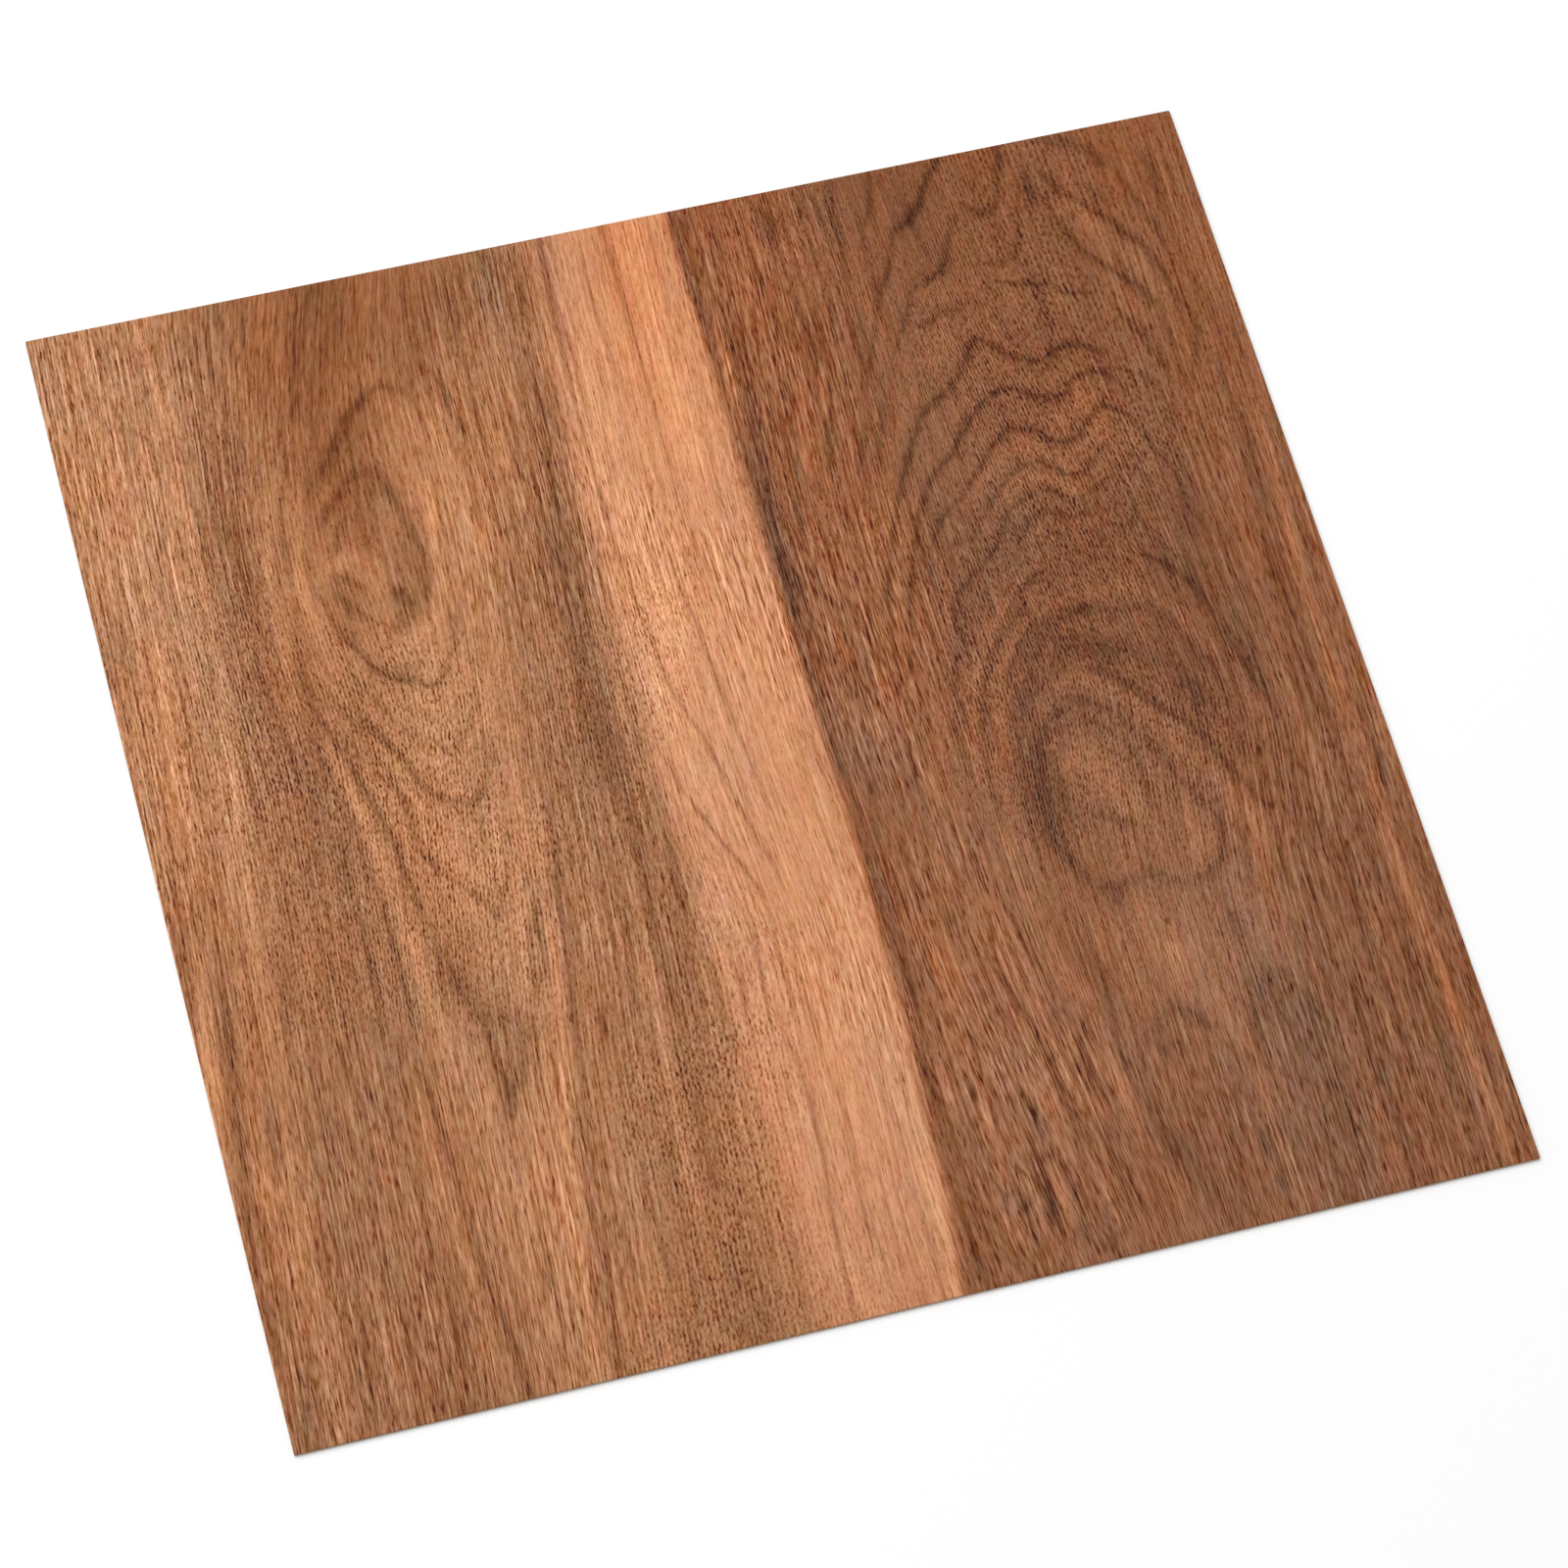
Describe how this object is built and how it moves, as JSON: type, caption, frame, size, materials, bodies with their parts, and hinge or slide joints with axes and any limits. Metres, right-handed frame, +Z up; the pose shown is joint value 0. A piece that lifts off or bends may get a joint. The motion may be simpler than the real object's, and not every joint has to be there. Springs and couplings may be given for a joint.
{
  "type": "vinyl floor tile",
  "caption": "Thin square of flexible vinyl sheet with a printed wood-grain face, glued flat to a floor and butted edge to edge with its neighbours.",
  "frame": {"origin": "middle of the underside", "axes": "+Z up out of the printed face, +Y along the grain of the print, +X across it"},
  "size_m": [0.305, 0.305, 0.0012],
  "materials": {
    "vinyl": "satin, printed wood grain under a clear wear layer"
  },
  "bodies": {
    "root": {"vinyl_tile": "vinyl"}
  },
  "joints": []
}
